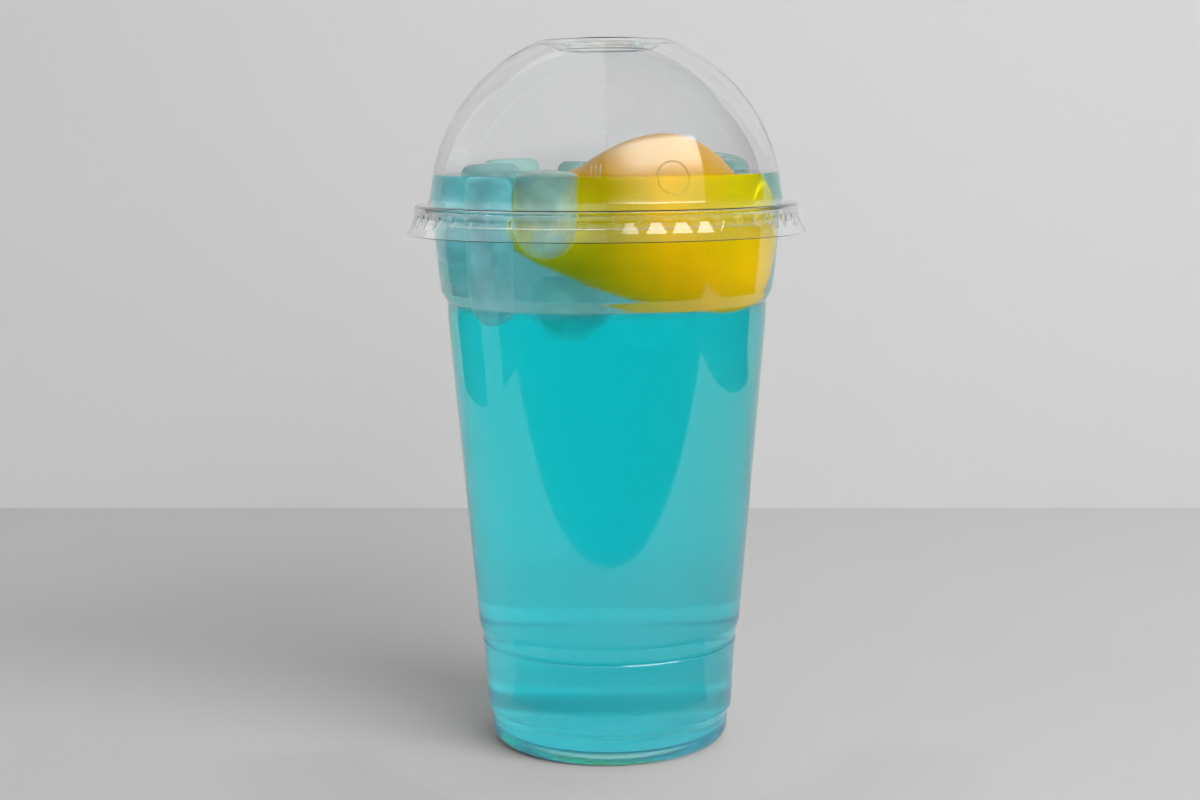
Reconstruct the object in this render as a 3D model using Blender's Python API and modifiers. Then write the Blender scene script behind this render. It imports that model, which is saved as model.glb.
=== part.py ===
"""Clear cup of blue raspberry lemonade under a domed lid, with ice pieces and a lemon.

Metres, +Z up. The cup's axis is the Z axis, and the table it stands on is z = 0.
The camera side of the cup is -Y, with +X to its right.
"""

import math

import bmesh
import bpy
from mathutils import Matrix, Vector

MM = 0.001

# How finely round shapes are cut
SEGMENTS = 48
LEMON_SEGMENTS = 20
ICE_SEGMENTS = 14
MERGE_DISTANCE = 0.01 * MM
SMOOTH_ANGLE = math.radians(35)

# Sheet thicknesses, and the gap that touching pieces keep
CUP_WALL = 0.45 * MM
LID_WALL = 0.40 * MM
GAP = 0.30 * MM

# Cup: foot and raised base panel
CONTACT_OUTER_RADIUS = 28.5 * MM
CONTACT_INNER_RADIUS = 26.9 * MM
PANEL_RADIUS = 24.8 * MM
PANEL_RISE = 2.5 * MM
PANEL_CROWN = 0.2 * MM
FOOT_RADIUS = 31.2 * MM
FOOT_CORNER = 2.7 * MM
FOOT_HEIGHT = 7.2 * MM

# Cup: body between the lower ledge and the stacking step
LOWER_BAND_RADIUS = 32.35 * MM
LOWER_BAND_START = 9.4 * MM
LEDGE_START = 25.6 * MM
LEDGE_END = 28.6 * MM
LEDGE_RADIUS = 33.15 * MM
BODY_BASE_RADIUS = 34.3 * MM
BODY_TOP_RADIUS = 41.2 * MM
BODY_TOP = 111.0 * MM
STEP_RADII = (41.3 * MM, 42.4 * MM, 43.5 * MM)
STEP_HEIGHTS = (116.4 * MM, 118.8 * MM, 123.8 * MM)

# Cup: neck and the rim curled outwards
CUP_HEIGHT = 140.4 * MM
RIM_OUTER_RADIUS = 48.6 * MM
NECK_RADIUS = 44.9 * MM
CURL_TIP_ANGLE = -50
CURL_POINTS = 6

# Lid: skirt, flange and dome
LID_HEIGHT = 183.4 * MM
DOME_RADIUS = 45.3 * MM
DOME_CENTRE = 140.6 * MM
DOME_START_ANGLE = 21.5
DOME_END_ANGLE = 84.5
DOME_POINTS = 9
DOME_FOOT_RADIUS = 45.5 * MM
DOME_FOOT_HEIGHT = 142.8 * MM
FLANGE_TOP = 141.3 * MM
FLANGE_INNER_RADIUS = 46.4 * MM
FLANGE_RADIUS = 49.0 * MM
FLANGE_EDGE_RADIUS = 49.4 * MM
SKIRT_TOP = 138.4 * MM
LUG_RADIUS = 49.9 * MM
LUG_HEIGHT = 137.0 * MM
SKIRT_WAIST_RADIUS = 50.4 * MM
SKIRT_WAIST_HEIGHT = 135.8 * MM
SKIRT_RADIUS = 51.5 * MM
SKIRT_BOTTOM = 134.0 * MM
LUG_DEPTH = 0.9 * MM

# Lid: closed button standing in a shallow moat at the crown
BUTTON_RADIUS = 9.0 * MM
BUTTON_FOOT_RADIUS = 10.0 * MM
MOAT_RADIUS = 11.8 * MM
MOAT_HEIGHT = 180.5 * MM
MOAT_RIM_RADIUS = 14.6 * MM
MOAT_RIM_HEIGHT = 182.3 * MM

# Drink: its level stands inside the dome, above the rim
DRINK_LEVEL = 149.5 * MM

# Lemon: long axis from the tip at the left to the blunt end at the right
LEMON_TIP = Vector((-22.0, -11.5, 140.5)) * MM
LEMON_LENGTH = 60.0 * MM
LEMON_WAIST = 37.5 * MM
LEMON_RADIUS = 22.0 * MM
LEMON_YAW = math.radians(-3)
LEMON_PITCH = math.radians(5)
LEMON_RINGS = 13
KNOB_RADIUS = 2.6 * MM

# Ice: x, y and z of the round lower end, length, radius, and the lean of the upper end
# towards +X and +Y in degrees
ICE_PIECES = (
    ("ice_front", -15.0, -31.6, 129.3, 20.8, 7.3, 1, 0),
    ("ice_left", -26.0, 2.5, 127.0, 24.6, 7.4, -3, 1),
    ("ice_middle", -6.5, 17.5, 126.0, 25.6, 7.6, 3, 3),
    ("ice_back_left", -24.5, 19.2, 122.0, 30.4, 7.6, -2, 2),
    ("ice_back_right", 28.5, 17.5, 132.0, 21.2, 7.6, 6, -10),
)
ICE_TOP_ROUNDING = 2.4 * MM


def clear_scene():
    """Remove every object, so that only the cup is left."""
    for item in list(bpy.data.objects):
        bpy.data.objects.remove(item, do_unlink=True)


def make_collection(name):
    """Add a collection to the scene."""
    collection = bpy.data.collections.new(name)
    bpy.context.scene.collection.children.link(collection)
    return collection


def make_material(name, colour, roughness, transmission=0.0, ior=1.45):
    """Make a material of one colour, clear where transmission is 1."""
    material = bpy.data.materials.new(name)
    material.use_nodes = True
    material.diffuse_color = (*colour, 1.0 - 0.6 * transmission)
    shader = material.node_tree.nodes["Principled BSDF"]
    shader.inputs["Base Color"].default_value = (*colour, 1.0)
    shader.inputs["Roughness"].default_value = roughness
    shader.inputs["Metallic"].default_value = 0.0
    shader.inputs["Transmission Weight"].default_value = transmission
    shader.inputs["IOR"].default_value = ior
    return material


def arc(centre, radius, start, end, count):
    """List (r, z) points along an arc, by angles in degrees from +r towards +z."""
    points = []
    for index in range(count):
        angle = math.radians(start + (end - start) * index / (count - 1))
        points.append((centre[0] + radius * math.cos(angle), centre[1] + radius * math.sin(angle)))
    return points


def offset_line(points, distance):
    """Move a profile that runs down its outer side by a distance towards the axis."""
    normals = []
    for (r0, z0), (r1, z1) in zip(points, points[1:]):
        along = Vector((r1 - r0, z1 - z0)).normalized()
        normals.append(Vector((-along.y, along.x)))
    moved = []
    for index, point in enumerate(points):
        before = normals[max(index - 1, 0)]
        after = normals[min(index, len(normals) - 1)]
        middle = (before + after).normalized()
        shift = -distance / max(middle.dot(after), 0.5)
        on_axis = point[0] < MERGE_DISTANCE
        moved.append((0.0 if on_axis else point[0] + middle.x * shift, point[1] + middle.y * shift))
    return moved


def turned_mesh(name, profile, segments):
    """Turn a profile of (r, z) points about the Z axis and return the mesh."""
    line = bpy.data.meshes.new(name + "_line")
    edges = [(index, index + 1) for index in range(len(profile) - 1)]
    line.from_pydata([(r, 0.0, z) for r, z in profile], edges, [])
    item = bpy.data.objects.new(name + "_line", line)
    bpy.context.scene.collection.objects.link(item)
    screw = item.modifiers.new("Turn", "SCREW")
    screw.steps = segments
    screw.render_steps = segments
    screw.use_merge_vertices = True
    screw.merge_threshold = MERGE_DISTANCE
    graph = bpy.context.evaluated_depsgraph_get()
    mesh = bpy.data.meshes.new_from_object(item.evaluated_get(graph))
    mesh.name = name
    bpy.data.objects.remove(item)
    bpy.data.meshes.remove(line)
    return mesh


def add_object(name, mesh, collection, material=None, place=None):
    """Put a mesh into a collection as a smooth-shaded object."""
    mesh.materials.clear()
    if material:
        mesh.materials.append(material)
    mesh.shade_smooth()
    mesh.set_sharp_from_angle(angle=SMOOTH_ANGLE)
    item = bpy.data.objects.new(name, mesh)
    if place:
        item.matrix_world = place
    collection.objects.link(item)
    return item


def thicken(item, thickness):
    """Give a turned sheet its thickness, on the side away from its normals."""
    shell = item.modifiers.new("Wall", "SOLIDIFY")
    shell.thickness = thickness
    shell.offset = -1.0
    shell.use_even_offset = True


def cup_profile():
    """The outer side of the cup's sheet, from the tip of the curled rim to the base's centre."""
    curl = (RIM_OUTER_RADIUS - NECK_RADIUS + CUP_WALL) / 2
    curl_centre = (RIM_OUTER_RADIUS - curl, CUP_HEIGHT - curl)
    corner_centre = (FOOT_RADIUS - FOOT_CORNER, FOOT_CORNER)
    points = arc(curl_centre, curl - CUP_WALL, CURL_TIP_ANGLE, 180, CURL_POINTS)
    points += reversed(list(zip(STEP_RADII, STEP_HEIGHTS)))
    points += [
        (BODY_TOP_RADIUS, BODY_TOP),
        (BODY_BASE_RADIUS, LEDGE_END),
        (LEDGE_RADIUS, LEDGE_START),
        (LOWER_BAND_RADIUS, LOWER_BAND_START),
        (FOOT_RADIUS, FOOT_HEIGHT),
    ]
    points += arc(corner_centre, FOOT_CORNER, 0, -90, 3)
    points += [
        (CONTACT_INNER_RADIUS, 0.0),
        (PANEL_RADIUS, PANEL_RISE),
        (0.0, PANEL_RISE + PANEL_CROWN),
    ]
    return points


def build_cup(collection, material):
    """The cup: one thin sheet from the curled rim to the raised base panel."""
    mesh = turned_mesh("cup", cup_profile(), SEGMENTS)
    cup = add_object("cup", mesh, collection, material)
    thicken(cup, CUP_WALL)


def dome_profile():
    """The outer side of the dome, from the end of its crown down to its foot."""
    arc_points = arc((0.0, DOME_CENTRE), DOME_RADIUS, 90 - DOME_START_ANGLE, 90 - DOME_END_ANGLE, DOME_POINTS)
    return arc_points + [(DOME_FOOT_RADIUS, DOME_FOOT_HEIGHT)]


def lid_profile():
    """The outer side of the lid's sheet, from the middle of the button to the skirt's edge."""
    crown = [
        (0.0, LID_HEIGHT),
        (BUTTON_RADIUS, LID_HEIGHT - PANEL_CROWN),
        (BUTTON_FOOT_RADIUS, MOAT_HEIGHT),
        (MOAT_RADIUS, MOAT_HEIGHT),
        (MOAT_RIM_RADIUS, MOAT_RIM_HEIGHT),
    ]
    skirt = [
        (FLANGE_INNER_RADIUS, FLANGE_TOP),
        (FLANGE_RADIUS, FLANGE_TOP),
        (FLANGE_EDGE_RADIUS, FLANGE_TOP - LID_WALL),
        (FLANGE_EDGE_RADIUS, SKIRT_TOP),
        (LUG_RADIUS, LUG_HEIGHT),
        (SKIRT_WAIST_RADIUS, SKIRT_WAIST_HEIGHT),
        (SKIRT_RADIUS, SKIRT_BOTTOM),
    ]
    return crown + dome_profile() + skirt


def press_lugs(mesh):
    """Press one V-shaped dent into the skirt between each pair of neighbouring columns."""
    work = bmesh.new()
    work.from_mesh(mesh)
    ring = [
        edge for edge in work.edges
        if all(abs(vertex.co.z - LUG_HEIGHT) < MERGE_DISTANCE for vertex in edge.verts)
    ]
    split = bmesh.ops.subdivide_edges(work, edges=ring, cuts=1)
    for vertex in split["geom_inner"]:
        if isinstance(vertex, bmesh.types.BMVert):
            radius = math.hypot(vertex.co.x, vertex.co.y)
            vertex.co.xy *= (radius - LUG_DEPTH) / radius
    bmesh.ops.triangulate(work, faces=[face for face in work.faces if len(face.verts) > 4])
    work.to_mesh(mesh)
    work.free()


def build_lid(collection, material):
    """The lid: a dome with a closed button, a flange over the cup's rim and a lugged skirt."""
    mesh = turned_mesh("lid", lid_profile(), SEGMENTS)
    press_lugs(mesh)
    lid = add_object("lid", mesh, collection, material)
    thicken(lid, LID_WALL)


def lemon_profile():
    """Half outline of the lemon along its long axis, which is +Z here, from blunt end to tip."""
    points = []
    for index in range(LEMON_RINGS + 1):
        along = LEMON_LENGTH * (1 - math.cos(math.pi * index / LEMON_RINGS)) / 2
        if along < LEMON_WAIST:
            share = 1 - along / LEMON_WAIST
            radius = LEMON_RADIUS * (1 - share ** 1.7) ** 0.7
            radius = max(radius, KNOB_RADIUS if 0 < index < 2 else 0.0)
        else:
            share = (along - LEMON_WAIST) / (LEMON_LENGTH - LEMON_WAIST)
            radius = LEMON_RADIUS * math.sqrt(max(1 - share ** 2.4, 0.0))
        points.append((radius, along))
    points.reverse()
    return points


def lemon_place():
    """Matrix that lays the lemon's own +Z along its long axis in the cup."""
    across = Vector((
        math.cos(LEMON_YAW) * math.cos(LEMON_PITCH),
        math.sin(LEMON_YAW) * math.cos(LEMON_PITCH),
        -math.sin(LEMON_PITCH),
    ))
    return Matrix.Translation(LEMON_TIP) @ across.to_track_quat("Z", "Y").to_matrix().to_4x4()


def ice_profile(length, radius):
    """Half outline of one ice piece: a softly rounded top, a straight side and a round end."""
    rounding = ICE_TOP_ROUNDING
    top = arc((radius - rounding, length - rounding), rounding, 90, 0, 3)
    bottom = arc((0.0, radius), radius, 0, -90, 4)
    return [(0.0, length + 0.1 * rounding)] + top + bottom


def ice_place(x, y, z, lean_x, lean_y):
    """Matrix that stands an ice piece on its round end and leans its upper end."""
    up = Vector((math.tan(math.radians(lean_x)), math.tan(math.radians(lean_y)), 1.0))
    return Matrix.Translation(Vector((x, y, z)) * MM) @ up.to_track_quat("Z", "Y").to_matrix().to_4x4()


def build_inserts(collection, cutters, lemon_material, ice_material):
    """The lemon and the ice, each with a cutter one gap larger for the drink."""
    turned = [("lemon", lemon_profile(), LEMON_SEGMENTS, lemon_place(), lemon_material)]
    for name, x, y, z, length, radius, lean_x, lean_y in ICE_PIECES:
        profile = ice_profile(length * MM, radius * MM)
        turned.append((name, profile, ICE_SEGMENTS, ice_place(x, y, z, lean_x, lean_y), ice_material))
    holes = []
    for name, profile, segments, place, material in turned:
        add_object(name, turned_mesh(name, profile, segments), collection, material, place)
        hole = turned_mesh(name + "_hole", offset_line(profile, -GAP), segments)
        holes.append(add_object(name + "_hole", hole, cutters, place=place))
    return holes


def drink_profile():
    """The drink's outline: its level in the dome, then one gap inside the dome and the cup."""
    inside = DOME_RADIUS - LID_WALL - GAP
    level_radius = math.sqrt(inside ** 2 - (DRINK_LEVEL - DOME_CENTRE) ** 2)
    dome_side = offset_line(dome_profile()[-2:], LID_WALL + GAP)
    cup_side = offset_line(cup_profile()[CURL_POINTS - 1:], CUP_WALL + GAP)
    return [(0.0, DRINK_LEVEL), (level_radius, DRINK_LEVEL), dome_side[0]] + cup_side


def build_drink(collection, material, holes):
    """The drink: a solid up to its level, cut round the lemon and the ice."""
    drink = add_object("drink", turned_mesh("drink", drink_profile(), SEGMENTS), collection, material)
    for hole in holes:
        cut = drink.modifiers.new("Room for " + hole.name, "BOOLEAN")
        cut.operation = "DIFFERENCE"
        cut.object = hole
        hole.hide_render = True
        hole.display_type = "WIRE"


def main():
    """Build the cup and everything in it."""
    clear_scene()
    parts = make_collection("cup_of_blue_raspberry_lemonade")
    cutters = make_collection("cutters")
    clear_plastic = make_material("clear_plastic", (0.95, 0.97, 0.97), 0.06, 1.0, 1.57)
    blue_drink = make_material("blue_drink", (0.02, 0.43, 0.47), 0.03, 0.8, 1.33)
    lemon_peel = make_material("lemon_peel", (0.72, 0.42, 0.02), 0.38)
    pale_ice = make_material("pale_ice", (0.78, 0.90, 0.88), 0.12, 0.6, 1.31)
    build_cup(parts, clear_plastic)
    build_lid(parts, clear_plastic)
    holes = build_inserts(parts, cutters, lemon_peel, pale_ice)
    build_drink(parts, blue_drink, holes)


main()
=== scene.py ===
"""Clear cup of blue lemonade under a domed lid: the finish of every surface.

Laid out as a Blender add-on and run as a script. Metres, +Z up; the cup's axis is the Z axis,
the table is z = 0, and the photographed side of the cup is -Y with +X to its right.
"""

import math

import bpy
from mathutils import Matrix, Vector, noise


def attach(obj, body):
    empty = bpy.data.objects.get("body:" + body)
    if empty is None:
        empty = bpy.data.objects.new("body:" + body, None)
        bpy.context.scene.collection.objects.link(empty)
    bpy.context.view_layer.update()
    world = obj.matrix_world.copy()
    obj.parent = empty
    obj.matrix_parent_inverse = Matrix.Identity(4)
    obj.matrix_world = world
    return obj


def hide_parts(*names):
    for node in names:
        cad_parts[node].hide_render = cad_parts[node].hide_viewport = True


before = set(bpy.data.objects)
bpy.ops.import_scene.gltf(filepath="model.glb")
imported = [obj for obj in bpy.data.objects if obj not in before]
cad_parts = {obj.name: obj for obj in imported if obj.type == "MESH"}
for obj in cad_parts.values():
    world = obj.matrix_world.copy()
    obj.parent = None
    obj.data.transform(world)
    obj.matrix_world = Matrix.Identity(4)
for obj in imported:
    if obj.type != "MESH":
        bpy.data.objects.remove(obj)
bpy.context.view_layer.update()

bl_info = {
    "name": "Blue Lemonade Cup",
    "version": (1, 0, 0),
    "blender": (4, 5, 0),
    "location": "3D View > Sidebar > Drink",
    "description": "Dresses a clear cup of blue lemonade with its domed lid, ice and lemon",
    "category": "Object",
}

MM = 0.001
BODY = "root"
WHITE = (1.0, 1.0, 1.0, 1.0)
BLACK = (0.0, 0.0, 0.0, 1.0)

# How finely the turned shapes are divided, and the angle from which an edge is sharp
ROUND = 192
LUG_COUNT = 48
COLUMNS_PER_LUG = 10
CURL_POINTS = 14
DOME_POINTS = 36
SHARP = math.radians(38)

# Heights of the points of the cup's fine bead, over the ledge's foot
BEAD_SHELF, BEAD_NECK, BEAD_EDGE, BEAD_FOOT = 1.2 * MM, 0.4 * MM, 0.1 * MM, -2.2 * MM

# The dents between the lid's lugs: half their width in lugs at their foot, how much wider they are
# at their top, and how they fade over the skirt
LUG_TURN = math.radians(-1.65)
DENT_FOOT, DENT_SPREAD = 0.03, 0.25
DENT_FADE_START, DENT_FADE = 3.4, 2.4

# Raised lines on the dome, in degrees of turn from the front and of rise
RIDGE_RADIUS = 0.17 * MM
RING_CENTRE, RING_REACH, RING_POINTS = (21.0, 10.4), (5.2, 5.0), 48
BAR_TURNS, BAR_RISES = (-4.6, -3.2, -1.8), (10.4, 12.4, 14.4)

# Heights between which what floats turns from wet to dry
WET_BELOW, DRY_ABOVE = 0.1485, 0.1497


# Properties

def length(name, description, millimetres):
    """A size in the cup, given in millimetres and held in metres."""
    return bpy.props.FloatProperty(
        name=name, description=description, default=millimetres * MM,
        subtype="DISTANCE", unit="LENGTH", precision=5,
    )


def place(name, description, default):
    """A place, or a width and height, in metres."""
    return bpy.props.FloatVectorProperty(
        name=name, description=description, default=default, size=len(default),
        subtype="XYZ", unit="LENGTH",
    )


def share(name, description, default, top=1.0):
    """A plain number from 0."""
    return bpy.props.FloatProperty(name=name, description=description, default=default, min=0.0, max=top)


def colour(name, description, default):
    """A linear colour."""
    return bpy.props.FloatVectorProperty(
        name=name, description=description, default=default, size=3, min=0.0, max=1.0, subtype="COLOR",
    )


class CupSizes(bpy.types.PropertyGroup):
    """Sizes of the turned cup, on its outer side."""
    wall: length("Wall", "Thickness of the cup's sheet", 0.45)
    height: length("Height", "Top of the curled rim", 140.4)
    rim_radius: length("Rim radius", "Outside of the curled rim", 48.6)
    neck_radius: length("Neck radius", "Outer side of the wall where the curl starts", 44.9)
    step_radius: length("Step radius", "Wall above the stacking step", 43.5)
    step_top: length("Step top", "Where the step's upper slope ends", 123.8)
    step_bulge_radius: length("Step bulge radius", "Middle of the step's slope", 42.85)
    step_bulge: length("Step bulge", "Height of the middle of the step's slope", 119.0)
    step_foot_radius: length("Step foot radius", "Wall under the step", 41.3)
    step_foot: length("Step foot", "Height where the step starts", 116.4)
    body_top_radius: length("Body top radius", "Top of the tapered body", 41.2)
    body_top: length("Body top", "Height of the body's top", 111.0)
    body_foot_radius: length("Body foot radius", "Foot of the tapered body, on the ledge", 34.45)
    ledge_top: length("Ledge top", "Height of the ledge", 32.0)
    ledge_foot_radius: length("Ledge foot radius", "Wall under the ledge", 33.2)
    ledge_foot: length("Ledge foot", "Height where the ledge starts", 27.0)
    ledge_bead: length("Ledge bead", "How far the fine bead under the ledge stands out", 0.3)
    band_radius: length("Band radius", "Foot of the band under the ledge", 32.35)
    band_foot: length("Band foot", "Height of the band's foot", 9.4)
    foot_radius: length("Foot radius", "Narrow foot of the cup", 31.2)
    foot_top: length("Foot top", "Height of the foot", 7.2)
    foot_corner: length("Foot corner", "Rounding between the foot and the table", 3.8)
    ring_radius: length("Ring radius", "Inner edge of the flat ring that the cup stands on", 26.6)
    panel_radius: length("Panel radius", "Edge of the raised base panel", 24.6)
    panel_rise: length("Panel rise", "Height of the base panel's edge", 2.5)
    panel_crown: length("Panel crown", "How much the base panel's middle is higher", 0.2)


class LidSizes(bpy.types.PropertyGroup):
    """Sizes of the domed lid, on its outer side."""
    wall: length("Wall", "Thickness of the lid's sheet", 0.40)
    height: length("Height", "Top of the button", 183.4)
    dome_radius: length("Dome radius", "Radius of the dome's sphere", 45.3)
    dome_centre: length("Dome centre", "Height of the sphere's centre", 140.6)
    dome_foot_radius: length("Dome foot radius", "Foot of the dome", 45.5)
    dome_foot: length("Dome foot", "Height of the dome's foot", 142.8)
    flange_start: length("Flange start", "Inner radius of the flange", 46.4)
    flange_top: length("Flange top", "Height of the flange", 141.3)
    flange_radius: length("Flange radius", "Where the flange's edge turns down", 49.0)
    edge_radius: length("Edge radius", "Outside of the flange", 49.4)
    skirt_top: length("Skirt top", "Height where the skirt starts to flare", 138.4)
    waist_radius: length("Waist radius", "Skirt under its lugs", 50.4)
    waist: length("Waist", "Height of the skirt under its lugs", 135.8)
    skirt_radius: length("Skirt radius", "Lower edge of the skirt", 51.5)
    skirt_foot: length("Skirt foot", "Height of the skirt's lower edge", 134.0)
    lug_depth: length("Lug depth", "Depth of the dents between the lugs", 0.75)
    button_radius: length("Button radius", "Top of the closed button", 9.0)
    button_foot_radius: length("Button foot radius", "Foot of the button in its moat", 10.0)
    moat_radius: length("Moat radius", "Outer edge of the moat's floor", 11.8)
    moat: length("Moat", "Height of the moat's floor", 180.5)
    moat_rim_radius: length("Moat rim radius", "Where the dome starts outside the moat", 14.6)
    moat_rim: length("Moat rim", "Height of the moat's rim", 182.3)


class DrinkLook(bpy.types.PropertyGroup):
    """Level and colour of the drink."""
    level: length("Level", "Height of the drink's surface", 148.9)
    meniscus: length("Meniscus", "How far the surface climbs at the dome", 0.15)
    bite: length("Bite", "How far the drink reaches into the sheets around it", 0.15)
    tint: colour("Tint", "Colour that the drink lets through", (0.0, 0.915, 0.985))
    strength: share("Strength", "Absorption of the whole drink, for a metre", 15.0, 500.0)
    inner_light: share("Inner light", "Share of the room's light on what floats in the drink", 2.1, 5.0)
    lamp_light: share("Lamp light", "Share of the lamps' light on what floats in the drink", 0.95, 5.0)
    depth: length("Depth", "Height of the undiluted drink's top", 114.0)
    deep_tint: colour("Deep tint", "Colour that the undiluted drink lets through", (0.0, 1.0, 1.0))
    deep_strength: share("Deep strength", "Added absorption under that height, for a metre", 48.0, 500.0)
    top_tint: colour("Top tint", "Colour that the drink among the ice lets through", (0.2, 0.45, 0.48))
    top_strength: share("Top strength", "Added absorption over that height, for a metre", 11.0, 500.0)
    inset: length("Inset", "Distance of both from the sheet around them", 0.2)


class LemonLook(bpy.types.PropertyGroup):
    """Size, place and colour of the lemon."""
    reach: length("Length", "From the tip to the blunt end", 61.5)
    waist: length("Waist", "Distance from the tip to the thickest place", 36.8)
    radius: length("Radius", "Half of the greatest thickness", 20.4)
    arch: length("Arch", "How far its long axis is bowed upwards", 4.0)
    arch_place: length("Arch place", "Distance from the tip to the top of the bow", 25.4)
    crown: length("Crown", "How much fuller its upper side is", 1.6)
    knob: length("Knob", "Radius of the knob at the tip", 2.6)
    peel: colour("Peel", "Main colour of the peel", (1.0, 0.44, 0.001))
    # Painted shade: the blunt end's darker peel evens out the key lamp's stronger light on the lemon's
    # right.
    shaded_blunt_end: colour("Shaded blunt end", "Colour of the peel at the blunt end", (0.52, 0.38, 0.001))


class IceLook(bpy.types.PropertyGroup):
    """Look of the ice."""
    cloud: share("Cloud", "How milky the ice is", 0.7)
    rounding: length("Rounding", "Rounding of the upper edge", 2.4)


class StageLook(bpy.types.PropertyGroup):
    """Table, wall, lamps and camera."""
    table_front: length("Table front", "Distance of the table's front edge from the cup", 165)
    table_left: length("Table left", "Distance of the table's left edge from the cup", 395)
    table_right: length("Table right", "Distance of the table's right edge from the cup", 420)
    wall_back: length("Wall back", "Distance of the wall behind the cup", 318)
    wall_left: length("Wall left", "Distance of the wall's left edge from the cup", 385)
    wall_right: length("Wall right", "Distance of the wall's right edge from the cup", 520)
    wall_height: length("Wall height", "Height of the wall", 565)
    table_paint: colour("Table", "Colour of the table", (0.62, 0.62, 0.62))
    wall_paint: colour("Wall", "Colour of the wall", (0.76, 0.76, 0.76))
    # Painted shade: the wall's paint darkens to the right to even out the key lamp's stronger light there.
    wall_shade: share("Wall shade", "How much the wall's paint is darker at its right", 0.2)
    room_light: share("Room light", "Brightness of the room's even light", 0.285)
    ceiling_light: share("Ceiling light", "Brightness overhead in what mirrors it", 0.52)
    key_light: share("Key light", "Brightness of the softbox's brightest place", 9.4, 50.0)
    key_shine: share("Key shine", "Added brightness of the softbox in what mirrors it", 6.5, 50.0)
    key_place: place("Key place", "Middle of the softbox", (0.785, -1.042, 0.765))
    key_size: place("Key size", "Width and height of the softbox", (1.87, 1.05))
    card_light: share("Card light", "Brightness of the card at the left, seen in reflections alone", 0.6)
    wall_turn: share("Wall turn", "How much nearer the wall is at its right, as a slope", 0.042)
    left_light: share("Left light", "Brightness of the upper left in what mirrors it", 0.95)


GROUPS = {
    "cup_sizes": CupSizes, "lid_sizes": LidSizes, "drink_look": DrinkLook,
    "lemon_look": LemonLook, "ice_look": IceLook, "stage_look": StageLook,
}

# x, y and z of the round lower end, length, radius, and the lean of the upper end towards
# +X and +Y in degrees; the pieces in the first table stand for the model's own
ICE_PIECES = {
    "ice_front": (-14.2, -31.6, 129.3, 20.8, 7.3, 1, 0),
    "ice_left": (-29.0, 2.5, 127.0, 24.6, 7.4, -3, 1),
    "ice_middle": (-6.5, 17.5, 126.0, 25.6, 7.6, 3, 3),
    "ice_back_left": (-24.5, 19.2, 122.0, 30.4, 7.6, -2, 2),
    "ice_back_right": (28.5, 17.5, 132.0, 21.2, 7.6, 6, -10),
}
SUNK_ICE = {
    "sunk_ice_left": (-26.5, -20.5, 111.8, 36.6, 6.0, 0, 0),
    "sunk_ice_middle": (-6.5, 3.0, 107.5, 17.0, 7.4, -3, 5),
}

# Where the lemon's tip lies, and how far its long axis turns and sinks
LEMON_TIP = Vector((-21.8, -11.6, 138.4)) * MM
LEMON_YAW = math.radians(1.3)
LEMON_PITCH = math.radians(7.8)

# How full the lemon is before and behind its waist, and how many of its radii the knob reaches
FRONT_POWER, BACK_POWER, KNOB_REACH = 1.58, 4.0, 1.6

# The crown's middle from the tip and its half width, and its least height as a multiple of the most
CROWN_PLACE, CROWN_REACH, CROWN_LEAST = 34.3 * MM, 10.5 * MM, -2.9

# Lumps of the peel and the ice: how many in a metre, and their depth in millimetres
PEEL_LUMPS = ((55.0, 0.45), (160.0, 0.12))
ICE_LUMPS = (120.0, 0.25)

# How far the stage reaches, and what its lamps point at
FAR = 3.0
CUP_MIDDLE = (0.0, 0.0, 0.15)

# What only reflections show: a card at the left, and rings on the table, each with its inner and
# outer radius and its brightness
CARD = ((-0.6, -0.095, -0.15), (-0.6, 0.104, -0.15), (-0.6, 0.104, 0.06), (-0.6, -0.095, 0.06))
RINGS = {"dark_ring": (0.064, 0.080, 0.0), "dim_ring": (0.080, 0.100, 0.2)}
RING_START, RING_END, RING_ARC_POINTS, RING_HEIGHT = 190, 350, 33, 0.5 * MM

# The camera, and how often light may turn
LENS, SENSOR_WIDTH = 60.0, 36.0
CAMERA_PLACE = (-0.0014, -0.519, 0.161)
CAMERA_TURN = (math.radians(90 - 7.80), math.radians(0.47), 0.0)
LIGHT_BOUNCES = 32


# Shader maths

class Nodes:
    """One node tree, with a short way to add its nodes."""

    def __init__(self, name="", world=False, tree=None):
        if not tree:
            self.owner = (bpy.data.worlds if world else bpy.data.materials).new(name)
            self.owner.use_nodes = True
            tree = self.owner.node_tree
        self.tree = tree
        self.tree.nodes.clear()

    def add(self, kind, settings=None, **sockets):
        """Add a node: its settings first, then values or links for its named sockets."""
        node = self.tree.nodes.new(kind)
        for key, value in (settings or {}).items():
            if key == "stops":
                set_stops(node.color_ramp, value)
            else:
                setattr(node, key, value)
        for key, value in sockets.items():
            socket = find_socket(node, key)
            if isinstance(value, Socket):
                self.tree.links.new(value.socket, socket)
            else:
                socket.default_value = value
        return node

    def out(self, kind, output=0, settings=None, **sockets):
        """Add a node and wrap one of its outputs."""
        return Socket(self, self.add(kind, settings, **sockets).outputs[output])


def find_socket(node, key):
    """A node's input by index, as in i0, or by name with _ for a space."""
    if key[0] == "i" and key[1:].isdigit():
        return node.inputs[int(key[1:])]
    return node.inputs[key.replace("_", " ")]


def set_stops(ramp, stops):
    """Give a colour ramp its (position, colour) stops."""
    while len(ramp.elements) < len(stops):
        ramp.elements.new(1.0)
    for element, (position, tint) in zip(ramp.elements, stops):
        element.position = position
        element.color = (*tint, 1.0)


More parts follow.
